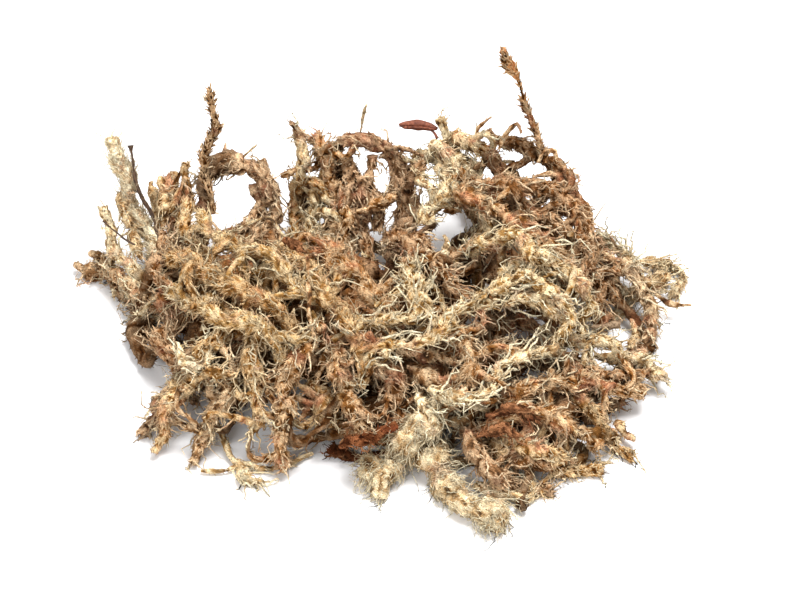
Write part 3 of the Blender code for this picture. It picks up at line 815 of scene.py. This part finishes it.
# %% Styles of the strands
SLOTS = {row["node"]: row["material_slot"] for row in frame["record"]["subparts"]}
STYLES = {
    "woolly": ("front_pale_strand", "front_left_lobe", "left_pale_upright"),
    "ravelled": ("pale_mass_strand_a", "pale_mass_strand_b", "sinuous_pale_strand",
                 "centre_pale_strand", "left_centre_strand_a", "left_lower_strand_c",
                 "right_pale_strand", "right_yellow_strand", "right_brown_strand",
                 "long_pale_strand"),
    "scaly": ("brown_arch", "chocolate_arch", "chestnut_back_strand",
              "front_russet_strand", "column_strand_d"),
    "husky": ("scaly_stalk", "bud_stalk"),
    "matted": ("base_strand_a", "base_strand_b"),
    "bare": ("left_bare_stem", "bark_flake", "broken_twig"),
}
STYLE_OF = {node: style for style, nodes in STYLES.items() for node in nodes}
BLEACH = {
    "front_left_lobe": 0.4, "front_pale_strand": 0.4, "left_pale_upright": 1.0,
    "left_yellow_tuft": 0.4, "top_pale_strand_a": 0.3, "top_pale_strand_b": 0.3,
    "brown_arch": 0.3, "chocolate_arch": 0.2, "column_strand_b": 0.2, "right_loop": 0.6,
    "right_yellow_strand": 0.5, "right_brown_strand": 0.4, "right_pale_strand": 0.3,
    "left_lower_strand_b": 0.25, "left_lower_strand_d": 0.3, "bundle_edge_strand": 0.2,
    "long_pale_strand": 0.3, "chestnut_back_strand": -0.2, "right_back_strand_a": -0.2,
    "right_back_strand_b": -0.2, "right_back_strand_c": -0.2, "left_centre_strand_a": -0.35,
    "left_centre_strand_b": -0.35, "left_centre_strand_c": -0.3, "centre_long_strand": -0.3,
    "centre_tan_strand": -0.3, "front_russet_strand": -0.3, "base_strand_a": -0.4,
    "base_strand_b": -0.4,
}
BARKS = {"broken_twig": GREY_BARK, "bark_flake": HUSK}
# Shares of the length, from the top, and the radius in mm at each.
PROFILES = {
    "bud_stalk": ((0, 0.05, 0.12, 0.20, 0.24, 0.40, 0.50, 0.62, 0.75, 0.92, 1),
                  (0.5, 1.3, 2.1, 1.6, 0.4, 0.35, 1.1, 0.9, 1.5, 1.2, 0.8)),
    "scaly_stalk": ((0, 0.06, 0.2, 0.35, 0.5, 0.7, 1), (0.5, 1.1, 0.9, 1.6, 1.1, 1.4, 1.2)),
    "left_bare_stem": ((0, 0.04, 0.1, 0.5, 0.8, 1), (1.1, 0.9, 0.6, 0.75, 0.7, 1.0)),
    "bark_flake": ((0, 0.3, 0.7, 1), (0.5, 0.4, 0.4, 0.5)),
}
ALONE = ("scaly_stalk", "bud_stalk", "brown_arch", "front_pale_strand", "left_pale_upright",
         "right_loop") + STYLES["bare"]
NEIGHBOURS = [node for node in LINES if node not in ALONE]
print(len(NEIGHBOURS), "strands have side shoots")

# %% [markdown]
# ## The sixty strands
# Every strand of the frame is grown over and replaced by its moss. Growth starts at the end nearer
# the clump's middle, so that the branches point outwards.

# %% The sixty strands
MIDDLE = (LOW + HIGH) / 2
STRAND_SHADE, SHOOT_SHADE = 0.6, 0.5
SHOOT_RANGE = (0.7, 1.15)
SHOOT_TIP = 0.55
total = 0
shoot_length = 0.0
for number, (node, (line, radii)) in enumerate(LINES.items()):
    if node in PROFILES:
        top_first = line[0][2] > line[-1][2]
        share = np.linspace(0, 1, len(line)) if top_first else np.linspace(1, 0, len(line))
        radii = np.interp(share, *PROFILES[node]) * MM
    if (Vector(line[0]) - MIDDLE).length > (Vector(line[-1]) - MIDDLE).length:
        line, radii = line[::-1], radii[::-1]
    others = np.vstack([SAMPLES[other] for other in LINES if other != node])
    # The fourth value is painted shade: darker where other strands lie on top.
    routes = [(line, radii, 1.0, STRAND_SHADE * buried(line, others), 1.0)]
    kinds = SHOOTS if node in NEIGHBOURS else ()
    found = [side_shoots(node, NEIGHBOURS, kind) for kind in kinds]
    for kind, some in zip(kinds, found):
        for route in some:
            radius = kind["radius"] * rng.uniform(*SHOOT_RANGE)
            taper = radius * np.linspace(1, SHOOT_TIP, len(route))
            # A shoot's painted shade: its kind's share, and more where other strands lie on top.
            dark = np.clip(kind["painted_shade"] + SHOOT_SHADE * buried(route, others), 0, 1)
            routes.append((route, taper, kind["cover"], dark, 0.0))
            shoot_length += steps_along(route).sum()
    slot = SLOTS[node]
    piece = grown(node + "_moss", routes, WAYS[STYLE_OF.get(node, "ropy")],
                  BARKS.get(node, MOSS[slot]), SEED_STEP * number, BLEACH.get(node, 0.0))
    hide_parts(node)
    ready(piece)
    total += triangles(piece.data)
print("moss triangles:", total, "and", round(shoot_length, 2), "m of shoots")

# %% [markdown]
# ## Small pieces
# A handful of moss sheds scraps and holds many thin bits that are too small to be strands of the
# frame: curls, tufts, threads, a stalk on the floor and more strands inside the arches. Drawn by
# hand they would look unlike the rest, so they grow by the same tree. Each is its way, its finish,
# its greatest radius, its bleaching and its routes, in millimetres.

# %% Table of small pieces
SMALL = {
    # The inner mat's bleach of -0.6 darkens it towards the shaded colour, as painted shade of the
    # inside of the heap.
    "inner_mat": ("matted", "brown_moss", 5.0, -0.6, (
        ((-60, 38, 8), (-40, 32, 9), (-20, 30, 10), (0, 30, 10), (14, 32, 9)),
        ((-58, 22, 8), (-36, 20, 12), (-12, 18, 12), (10, 18, 12), (22, 20, 10)),
        ((-56, 4, 8), (-32, 6, 12), (-8, 2, 12), (14, 2, 12), (34, 4, 10)),
        ((-50, -14, 6), (-28, -8, 10), (-4, -14, 10), (18, -12, 10), (40, -8, 10), (60, -8, 7)),
        ((-24, -22, 6), (-4, -26, 7), (16, -28, 6)),
        ((24, -24, 8), (44, -26, 8), (62, -24, 5)),
        ((36, 36, 14), (50, 30, 14), (60, 22, 10)),
        ((30, 46, 20), (38, 46, 20), (50, 42, 18), (58, 36, 12)),
        ((-66, 40, 8), (-62, 24, 8), (-58, 6, 7), (-52, -10, 5)),
        ((-56, 30, 7), (-44, 29, 9), (-30, 27, 11)),
        ((-50, 12, 11), (-28, 12, 13), (-6, 9, 13), (14, 10, 13), (28, 12, 12)),
        ((-54, -4, 8), (-34, -3, 11), (-10, -6, 11), (12, -4, 11), (34, -2, 10), (52, 0, 8)),
        ((12, 26, 12), (20, 30, 13), (28, 30, 14), (40, 22, 14), (52, 16, 11)),
        ((-52, 44, 12), (-42, 42, 13), (-30, 40, 13)))),
    "arch_inner_strands": ("ropy", "chocolate_moss", 3.2, 0.25, (
        ((-11, 57, 34), (-10.5, 52, 28), (-11, 48, 22), (-9.5, 43, 14)),
        ((-7.5, 53, 30), (-5.5, 51, 22), (-6.5, 47, 16)),
        ((2.5, 60, 35), (4.5, 56, 28), (5.5, 52, 20), (4, 47, 12)),
        ((-3.5, 58, 34), (-4.5, 54, 26), (-2.5, 51, 21), (-2, 46, 13)))),
    "arch_tan_strands": ("scaly", "tan_moss", 2.5, 0.0, (
        ((-9, 45, 23), (-2, 48, 24), (4, 50, 25)),
        ((-14, 52, 30), (-12, 44, 22), (-13, 38, 14)))),
    "brown_arch_limb": ("ropy", "brown_moss", 3.0, 0.3, (
        ((-38, 59, 32), (-34.5, 52, 26), (-35.5, 47, 20), (-40.5, 42, 16)),
        ((-41, 54, 26), (-40.5, 49, 21), (-44, 44, 17), (-48, 42, 14)),
        ((-39, 50, 20), (-36, 46, 17), (-33, 42, 14)))),
    "left_yellow_tufts": ("ropy", "straw_moss", 2.6, 0.2, (
        ((-73, 60, 22), (-71.5, 52, 18), (-71, 44, 15), (-72, 38, 11)),
        ((-79, 44, 21), (-77, 39, 17), (-75, 34, 13)),
        ((-66, 62, 24), (-65, 52, 20), (-66, 44, 16)),
        ((-82, 49, 27), (-80, 44, 22), (-77, 40, 18)),
        ((-70, 57, 26), (-68, 51, 22), (-70, 44, 17)))),
    "top_pale_tufts": ("ropy", "straw_moss", 3.2, 0.5, (
        ((22, 61, 41), (25, 59, 40), (28, 56, 40)),
        ((8.5, 52, 35), (12, 47, 33), (16, 44, 31)),
        ((14, 58, 39), (19, 54, 37), (24, 50, 35)),
        ((16, 52, 36), (20, 47, 33), (21, 41, 29)))),
    "under_brown_strands": ("ropy", "brown_moss", 3.2, -0.2, (
        ((37, 17, 14), (44, 13, 13), (52, 10, 10)),
        ((30, 22, 16), (36, 22, 17), (43, 20, 15)),
        ((28, 24, 22), (33, 27, 23), (38, 27, 23)),
        ((38, 7, 16), (43, 4, 14), (47, 2, 13)),
        ((34, -43, 8), (43, -45, 6), (50, -46, 5)),
        ((40, -36, 9), (46, -40, 8), (54, -42, 5)))),
    "right_fill_strands": ("ropy", "straw_moss", 2.4, 0.2, (
        ((79, 42, 4), (84, 43, 4), (90, 42, 3)),
        ((76, 15, 5), (77, 9, 4), (75, 4, 4)),
        ((64, 0, 6), (68, -2, 5), (72, -2, 5)),
        ((80, 36, 3), (85, 33, 3), (89, 36, 3)))),
    "pale_mass_knot": ("ravelled", "cream_moss", 3.0, 0.2, (
        ((36, -7, 34.5), (42, -4, 33.5), (49, -5, 30.5), (53.5, -5, 24)),
        ((36, 2, 34), (43, 4, 33), (50, 3, 29)),
        ((34, 10, 32), (40, 12, 32), (47, 10, 29), (53, 8, 25)))),
    "centre_shelf": ("ropy", "tan_moss", 2.8, 0.2, (
        ((7, -22, 22), (16, -27, 22), (25, -24, 22.5)),
        ((4, -17, 23), (13, -18, 23), (22, -20, 23)))),
    "front_wool": ("woolly", "cream_moss", 4.2, 0.3, (
        ((4, -38, 7), (11, -42, 7), (17, -46, 6)), ((0, -44, 6), (-4, -47, 5), (-6, -50, 4)))),
    "russet_ribs": ("ropy", "russet_moss", 2.6, 0.0, (
        ((-12, -46, 14), (-5, -46, 17.5), (4, -41, 18)),)),
    "rosy_ribs": ("ropy", "russet_moss", 2.2, 0.4, (
        ((27, -45, 17), (33, -42, 18.5), (40, -44, 17)),
        ((30, -38, 19), (38, -37, 20), (46, -40, 18)),
        ((-30, 17, 38), (-27, 14, 38.5), (-24, 12, 38)))),
    "front_curl": ("woolly", "cream_moss", 2.2, 0.4, (
        ((26, -51, 3), (30, -52, 3), (36, -55, 3), (41, -56, 3), (44, -54, 3), (43, -51, 3),
         (40, -50, 3)),)),
    "white_tuft": ("ravelled", "cream_moss", 2.5, 0.8, (
        ((10, -31, 21), (13, -35, 19), (15, -38, 17), (13, -42, 14)),
        ((16, -33, 22), (20, -35, 21), (24, -34, 20), (28, -33, 21)))),
    "golden_curl": ("scaly", "straw_moss", 2.2, 0.2, (
        ((69, -27, 4), (72, -30, 4), (75, -34, 3.5)),)),
    "floor_wisps": ("thread", "cream_moss", 1.0, 0.2, (
        ((-54, -44, 1.6), (-47, -44, 1.6), (-41, -42, 1.6), (-32, -43, 1.6), (-21, -37, 1.5)),
        ((-51, -25, 7), (-48, -33, 4), (-45, -40, 2), (-43, -44, 2)),
        ((-15, -36, 0.8), (-9, -37, 0.8), (-3, -38, 0.8)))),
    "floor_head": ("ravelled", "cream_moss", 2.6, 0.3, (
        ((-44, -42, 2.5), (-40, -46, 2.5), (-36, -49, 2.5)),)),
    "left_root": ("bare", "dark_bark", 0.6, 0.0, (
        ((-87, 39, 24.5), (-83, 37, 22), (-80, 35, 20.5), (-77, 33, 20)),)),
    "left_pale_curl": ("ravelled", "cream_moss", 2.0, 0.7, (
        ((-62, -14, 25), (-59, -21, 26), (-54, -24, 26), (-51, -20, 26), (-52, -16, 26)),)),
    "pink_stalk": ("bare", "tan_moss", 0.8, 0.2, (
        ((-23, 6, 41), (-22, -5, 40), (-22, -15, 39), (-21, -22, 38)),)),
    "upright_tuft": ("ravelled", "cream_moss", 1.8, 0.7, (
        ((18, 17, 40), (19, 15, 37), (18, 11, 33)),)),
    "left_edge_fringe": ("ropy", "tan_moss", 2.5, 0.2, (
        ((-92, 42, 7), (-86, 34, 9), (-77, 23, 11), (-68, 13, 14)),
        ((-97, 41, 3), (-92, 38, 4), (-86, 35, 4)))),
    "pale_threads": ("thread", "cream_moss", 0.6, 0.5, (
        ((-47, 29, 29), (-39.5, 31, 32), (-35, 32, 32), (-32, 29, 30), (-24.5, 16.5, 28)),
        ((-5.5, 62, 52), (-7, 62, 46), (-8, 61, 38)),
        ((-49.5, 63, 35), (-50.5, 60, 32), (-51.5, 58, 29)),
        ((-47.5, 59, 32), (-44, 60, 32), (-40, 62, 35)))),
    "back_tendrils": ("thread", "tan_moss", 0.9, 0.2, (
        ((35.5, 57, 38), (37.5, 59, 42), (40.5, 61, 45), (42.5, 60, 42)),
        ((47.5, 55, 34), (49.5, 57, 37), (52.5, 58, 37), (53.5, 56, 35)),
        ((46, 53, 30), (52, 54, 30), (55.5, 53, 27), (57, 50, 22)),
        ((28, 60, 40), (30, 62, 44), (33, 63, 46)))),
    "right_tip_wisp": ("thread", "tan_moss", 0.8, 0.2, (
        ((83.5, 23.5, 8), (88, 21, 6), (91, 20.5, 6), (95, 21.5, 5)),)),
    "red_tufts": ("scaly", "russet_moss", 1.8, 0.0, (
        ((-37, 10, 29), (-33.5, 9, 29.5)), ((-37, -6, 17), (-33, -7, 17.5)),
        ((-70, -24, 3), (-66, -26, 3)), ((53, 10, 12), (56, 8, 12.5)))),
}
print(len(SMALL), "groups of small pieces")

# %% Growing the small pieces
ROUTE_STEP = 1.2 * MM
FIRST_SMALL_SEED = 100
END_SHARE = 0.55
for number, (name, (style, slot, size, bleach, lines)) in enumerate(SMALL.items()):
    routes = []
    for corners in lines:
        if len(corners) == 2:
            corners = (corners[0], tuple((a + b) / 2 for a, b in zip(*corners)), corners[1])
        line = smooth_line(np.array(corners) * MM, ROUTE_STEP)
        bulge = np.sin(np.linspace(0, np.pi, len(line)))
        routes.append((line, size * MM * (END_SHARE + (1 - END_SHARE) * bulge), 1.0, 0.0, 0.0))
    piece = grown(name, routes, WAYS[style], MOSS[slot], SEED_STEP * (FIRST_SMALL_SEED + number),
                  bleach)
    ready(piece)
    total += triangles(piece.data)
print("with the small pieces:", total, "triangles")

# %% [markdown]
# ## Husks
# The flake of bark and the bud on the tall stalk are thin dry scales, curled across like a fallen
# leaf. A grown strand would be too round for them. Each is one sheet along a short line, narrow at
# both ends, and Solidify gives it its thickness.

# %% A husk
ACROSS = 9
HUSK_STEP = 0.8 * MM
HUSK_THICKNESS = 0.3 * MM
BLUNT_END, BLUNTNESS = 0.05, 0.7
EDGE_WAVES, EDGE_DEPTH = 17, 0.12
CRUMPLE, CRUMPLES_ACROSS, CRUMPLES_ALONG = 0.08, 9, 5
STEEP = 0.9


def husk(name, corners, wide, curl, turn, material):
    """A curled scale along a line in mm. The turn, in degrees, rolls it about that line."""
    line = smooth_line(np.array(corners) * MM, HUSK_STEP)
    ahead = np.gradient(line, axis=0)
    ahead /= np.linalg.norm(ahead, axis=1)[:, None]
    side = np.cross(ahead, (0.0, 0.0, 1.0) if abs(ahead[0][2]) < STEEP else (0.0, 1.0, 0.0))
    side /= np.linalg.norm(side, axis=1)[:, None]
    lift = np.cross(side, ahead)
    angle = np.radians(turn)
    side, lift = (np.cos(angle) * side + np.sin(angle) * lift,
                  np.cos(angle) * lift - np.sin(angle) * side)
    share = np.linspace(0, 1, len(line))
    rounded = np.sin(np.pi * (BLUNT_END + (1 - 2 * BLUNT_END) * share)) ** BLUNTNESS
    half = wide * MM / 2 * rounded * (1 + EDGE_DEPTH * np.sin(EDGE_WAVES * share))
    work = bmesh.new()
    rows = []
    for k, point in enumerate(line):
        row = []
        for u in np.linspace(-1, 1, ACROSS):
            out = half[k] * np.sin(curl * u) / curl
            crumple = CRUMPLE * np.sin(CRUMPLES_ACROSS * u + CRUMPLES_ALONG * share[k])
            down = half[k] * (1 - np.cos(curl * u)) / curl + half[k] * crumple
            row.append(work.verts.new(point + side[k] * out - lift[k] * down))
        rows.append(row)
    for row, after in zip(rows, rows[1:]):
        for k in range(ACROSS - 1):
            work.faces.new((row[k], row[k + 1], after[k + 1], after[k]))
    sheet = bpy.data.meshes.new(name)
    work.to_mesh(sheet)
    work.free()
    piece = linked(name, sheet)
    solid = piece.modifiers.new("thickness", "SOLIDIFY")
    solid.thickness = HUSK_THICKNESS
    solid.offset = 0.0
    mesh = plain_mesh(piece)
    mesh.materials.append(material)
    mesh.shade_smooth()
    ready(piece)


# %% The flake of bark and the bud
husk("bark_flake_shell", ((4.5, 62, 43.5), (8, 63, 43.5), (12, 63, 43.3), (16.5, 62, 42)),
     4.2, 1.9, -35, HUSK)
husk("bark_flake_fold", ((5.5, 62, 42.6), (9, 62.5, 42.3), (13, 62.5, 42), (16, 62, 41.6)),
     2.8, 1.2, 60, HUSK)
BUD_STALK = LINES["bud_stalk"][0]
BUD_STALK = BUD_STALK if BUD_STALK[0][2] > BUD_STALK[-1][2] else BUD_STALK[::-1]
BUD = BUD_STALK[0:13:3] / MM
BUD_WIDTH, BUD_CURL, BUD_SPREAD = 3.6, 1.7, 0.9
SCALE_TURNS = ((0, 1.0), (75, 0.85), (150, 0.9), (215, 0.8), (290, 0.95))
for number, (turn, grow) in enumerate(SCALE_TURNS):
    tip = BUD[0] + np.array([BUD_SPREAD * np.sin(2.1 * number), 0.5,
                             BUD_SPREAD * np.cos(1.7 * number)])
    husk(f"bud_scale_{number + 1}", (tip, *BUD[1:]), BUD_WIDTH * grow, BUD_CURL, turn, PALE_HUSK)
print("a flake in two folds and a bud of", len(SCALE_TURNS), "scales")


# %% [markdown]
# ## Floor and light
# The clump lies on white paper. A wide soft light above it keeps the shade between the strands, and
# a weaker one in front opens the deepest of it.

# %% Floor and light
FLOOR_HALF = 3.0
SKY = 0.52
# Name, place in metres, size across in metres and power in watts.
LIGHTS = (("main light", (0.15, 0.1, 1.0), 0.55, 16.5),
          ("front light", (-0.5, -0.9, 0.8), 0.9, 8.0))

floor_mesh = bpy.data.meshes.new("floor")
work = bmesh.new()
bmesh.ops.create_grid(work, x_segments=1, y_segments=1, size=FLOOR_HALF)
work.to_mesh(floor_mesh)
work.free()
PAPER = Shader("white paper")
PAPER.set(Base_Color=(0.93, 0.93, 0.94, 1), Roughness=0.9, Specular_IOR_Level=0.1)
floor_mesh.materials.append(PAPER.material)
linked("floor", floor_mesh)

world = bpy.data.worlds.new("studio")
world.use_nodes = True
background = world.node_tree.nodes["Background"].inputs
background["Color"].default_value = (1, 1, 1, 1)
background["Strength"].default_value = SKY
bpy.context.scene.world = world
for name, place, size, power in LIGHTS:
    lamp = bpy.data.lights.new(name, "AREA")
    lamp.shape = "DISK"
    lamp.size = size
    lamp.energy = power
    light = linked(name, lamp)
    light.location = place
    light.rotation_euler = (-Vector(place)).to_track_quat("-Z", "Y").to_euler()
print(len(LIGHTS), "lights")

# %% [markdown]
# ## Camera
# The camera looks half way down on the clump from the front, with a long lens, so that near and far
# strands keep their sizes. Its distance follows from how many millimetres each of the frame's 800
# units shows.

# %% Camera
LENS = 150.0
SENSOR = 36.0
FRAME_UNITS = 800
MM_PER_UNIT = 0.306
ELEVATION = np.radians(45)
AIM = Vector((4.8, 15.2, 13.7)) * MM
distance = FRAME_UNITS * MM_PER_UNIT * MM * LENS / SENSOR
lens = bpy.data.cameras.new("camera")
lens.lens = LENS
lens.sensor_width = SENSOR
camera = linked("camera", lens)
back = Vector((0, -np.cos(ELEVATION), np.sin(ELEVATION)))
camera.location = AIM + back * distance
camera.rotation_euler = (-back).to_track_quat("-Z", "Y").to_euler()
bpy.context.scene.camera = camera
bpy.context.scene.view_settings.view_transform = "Standard"
print("the camera is", round(distance, 2), "m away")
